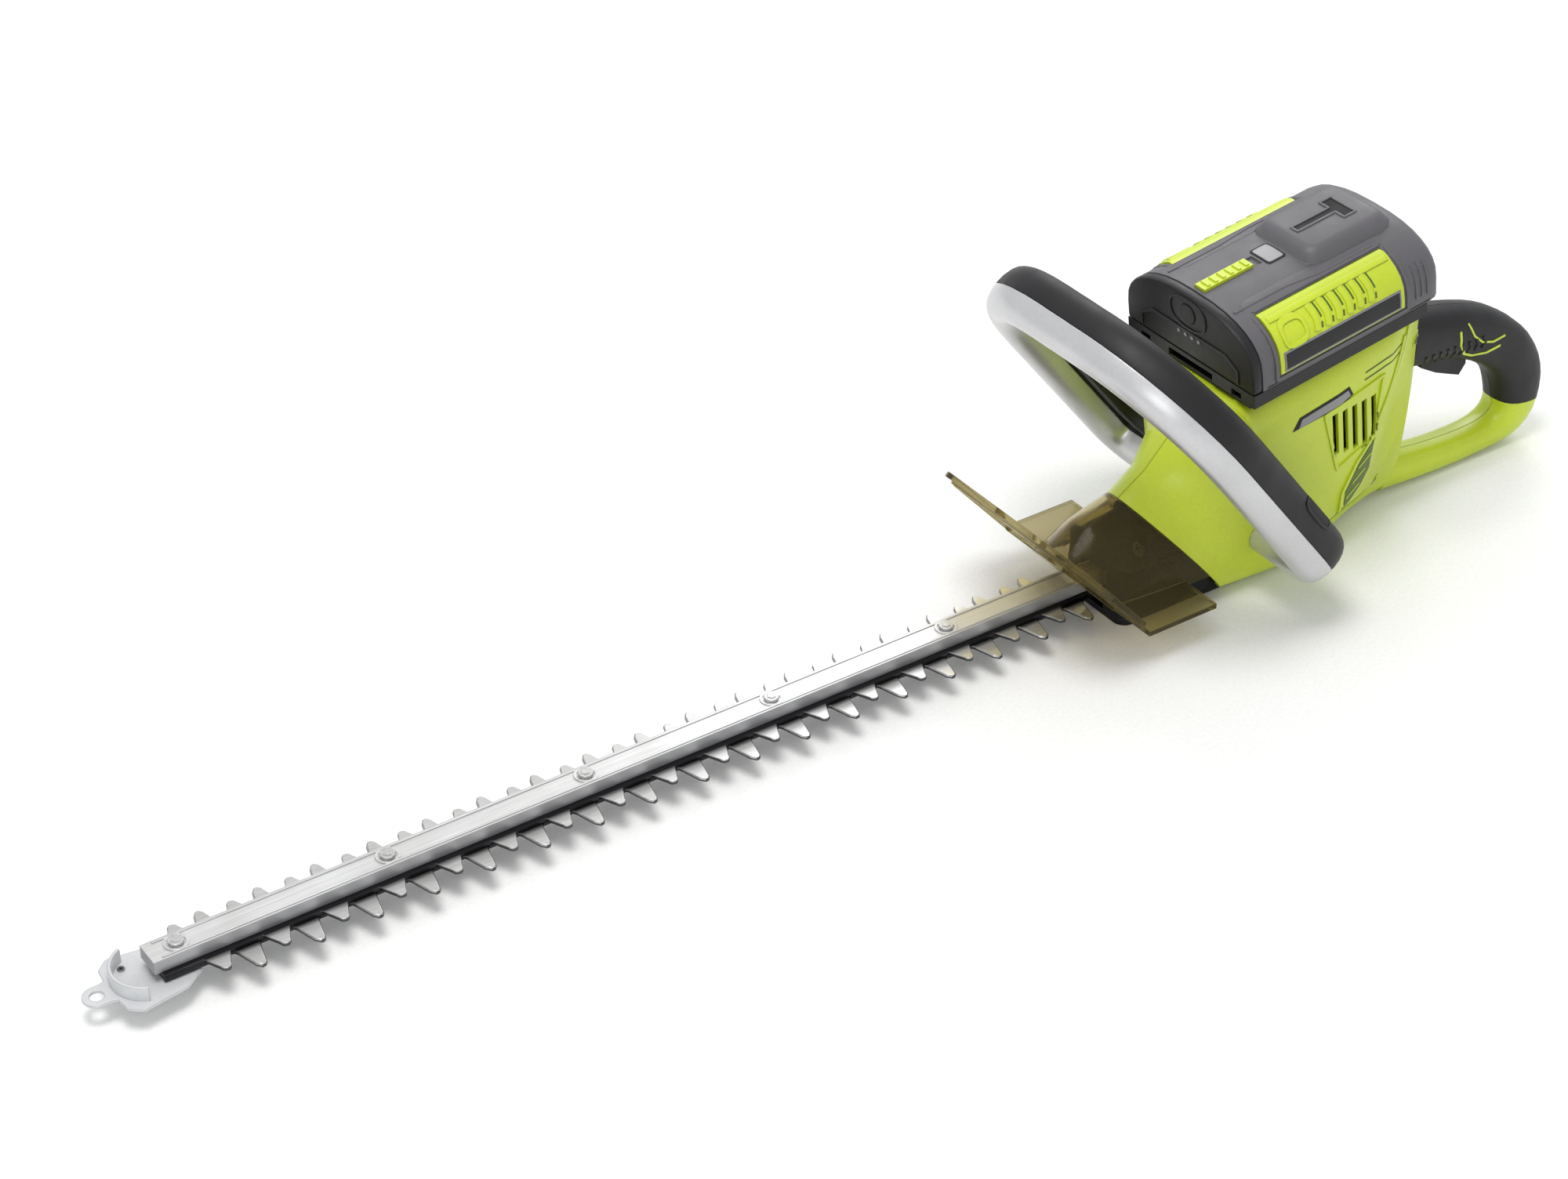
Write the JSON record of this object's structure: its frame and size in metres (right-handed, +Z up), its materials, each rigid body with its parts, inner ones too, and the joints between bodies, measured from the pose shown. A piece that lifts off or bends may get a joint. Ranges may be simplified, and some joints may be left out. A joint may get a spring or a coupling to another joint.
{
  "type": "hedge trimmer",
  "caption": "Cordless hedge trimmer with two reciprocating toothed blades, a bow front handle with switch lever, a smoked hand guard, a D-shaped rear handle and a slide-on battery.",
  "frame": {"origin": "bottom centre of the whole tool's box, in its resting attitude on the blade gear cover and the lower handle bar", "axes": "+X forward along the blades, +Y to the tool's left, +Z up, square to the plane of the blades"},
  "size_m": [1.0483, 0.216, 0.2259],
  "materials": {
    "lime_plastic": "satin moulded plastic",
    "black_rubber": "matt soft-grip overmould",
    "dark_plastic": "fine-textured moulded plastic",
    "silver_plastic": "satin silver moulded plastic",
    "smoke_plastic": "smoked translucent plastic",
    "grey_plastic": "fine-textured moulded plastic",
    "blade_steel": "ground",
    "cast_aluminium": "as cast",
    "cell_wrap": "shrink sleeve",
    "circuit_board": "solder mask"
  },
  "bodies": {
    "tool": {"battery_deck": "dark_plastic", "blade_bolt_1": "blade_steel", "blade_bolt_2": "blade_steel", "blade_bolt_3": "blade_steel", "blade_bolt_4": "blade_steel", "blade_bolt_5": "blade_steel", "blade_bolt_6": "blade_steel", "bow_front": "silver_plastic", "bow_overmould": "black_rubber", "control_board": "circuit_board", "cover_screw_1": "blade_steel", "cover_screw_2": "blade_steel", "cover_screw_3": "blade_steel", "cover_screw_4": "blade_steel", "gear_case": "cast_aluminium", "gear_case_cover": "dark_plastic", "hand_guard": "smoke_plastic", "housing_left": "lime_plastic", "housing_right": "lime_plastic", "lever_pin_left": "blade_steel", "lever_pin_right": "blade_steel", "lever_switch": "dark_plastic", "motor_can": "blade_steel", "rear_grip_left": "black_rubber", "rear_grip_right": "black_rubber", "support_bar": "blade_steel", "tip_protector": "silver_plastic", "tool_terminal": "dark_plastic", "trigger_pin": "blade_steel"},
    "upper_blade_body": {"upper_blade": "blade_steel", "upper_link": "blade_steel"},
    "lower_blade_body": {"lower_blade": "blade_steel", "lower_link": "blade_steel"},
    "crank_body": {"crank_gear": "blade_steel", "crank_shaft": "blade_steel"},
    "rotor_body": {"motor_rotor": "blade_steel", "drive_pinion": "blade_steel", "cooling_fan": "dark_plastic"},
    "trigger_body": {"trigger": "dark_plastic"},
    "bow_lever_body": {"bow_lever": "dark_plastic"},
    "battery_body": {"battery_base": "dark_plastic", "battery_shell": "grey_plastic", "battery_cap": "dark_plastic", "cell_01": "cell_wrap", "cell_02": "cell_wrap", "cell_03": "cell_wrap", "cell_04": "cell_wrap", "cell_05": "cell_wrap", "cell_06": "cell_wrap", "cell_07": "cell_wrap", "cell_08": "cell_wrap", "cell_09": "cell_wrap", "cell_10": "cell_wrap"},
    "latch_left_body": {"latch_left": "lime_plastic"},
    "latch_right_body": {"latch_right": "lime_plastic"},
    "slider_body": {"pack_slider": "lime_plastic"},
    "button_body": {"charge_button": "dark_plastic"}
  },
  "joints": [
    {"name": "upper_blade_slide", "type": "slide", "parent": "tool", "child": "upper_blade_body", "axis": [1, 0, 0], "range_m": [-0.0085, 0.0085]},
    {"name": "lower_blade_slide", "type": "slide", "parent": "tool", "child": "lower_blade_body", "axis": [1, 0, 0], "range_m": [-0.0085, 0.0085]},
    {"name": "crank_spin", "type": "hinge", "parent": "tool", "child": "crank_body", "pos_m": [-0.218, 0, 0.029], "axis": [0, 0, 1], "continuous": true},
    {"name": "motor_spin", "type": "hinge", "parent": "tool", "child": "rotor_body", "pos_m": [-0.2488, 0, 0.077], "axis": [0, 0, 1], "continuous": true},
    {"name": "trigger_squeeze", "type": "hinge", "parent": "tool", "child": "trigger_body", "pos_m": [-0.416, 0, 0.096], "axis": [0, 1, 0], "range_deg": [0, 10], "stiffness_Nm_per_rad": 0.6, "springref_deg": -20.05},
    {"name": "bow_lever_squeeze", "type": "hinge", "parent": "tool", "child": "bow_lever_body", "pos_m": [-0.24783, 0, 0.06289], "axis": [0, 1, 0], "range_deg": [0, 3], "stiffness_Nm_per_rad": 12, "springref_deg": -6.88},
    {"name": "battery_slide", "type": "slide", "parent": "tool", "child": "battery_body", "axis": [-0.989, 0, 0.1478], "range_m": [0, 0.17]},
    {"name": "latch_left_press", "type": "slide", "parent": "battery_body", "child": "latch_left_body", "axis": [0, -1, 0], "range_m": [0, 0.002], "stiffness_N_per_m": 900, "springref_m": -0.003},
    {"name": "latch_right_press", "type": "slide", "parent": "battery_body", "child": "latch_right_body", "axis": [0, 1, 0], "range_m": [0, 0.002], "stiffness_N_per_m": 900, "springref_m": -0.003},
    {"name": "pack_slider_slide", "type": "slide", "parent": "battery_body", "child": "slider_body", "axis": [-0.989, 0, 0.1478], "range_m": [0, 0.006]},
    {"name": "charge_button_press", "type": "slide", "parent": "battery_body", "child": "button_body", "axis": [-0.989, 0, 0.1478], "range_m": [0, 0.0015], "stiffness_N_per_m": 400, "springref_m": -0.002}
  ],
  "couplings": [
    {"joint": "lower_blade_slide", "follows": "upper_blade_slide", "ratio": -1},
    {"joint": "motor_spin", "follows": "crank_spin", "ratio": -4}
  ]
}
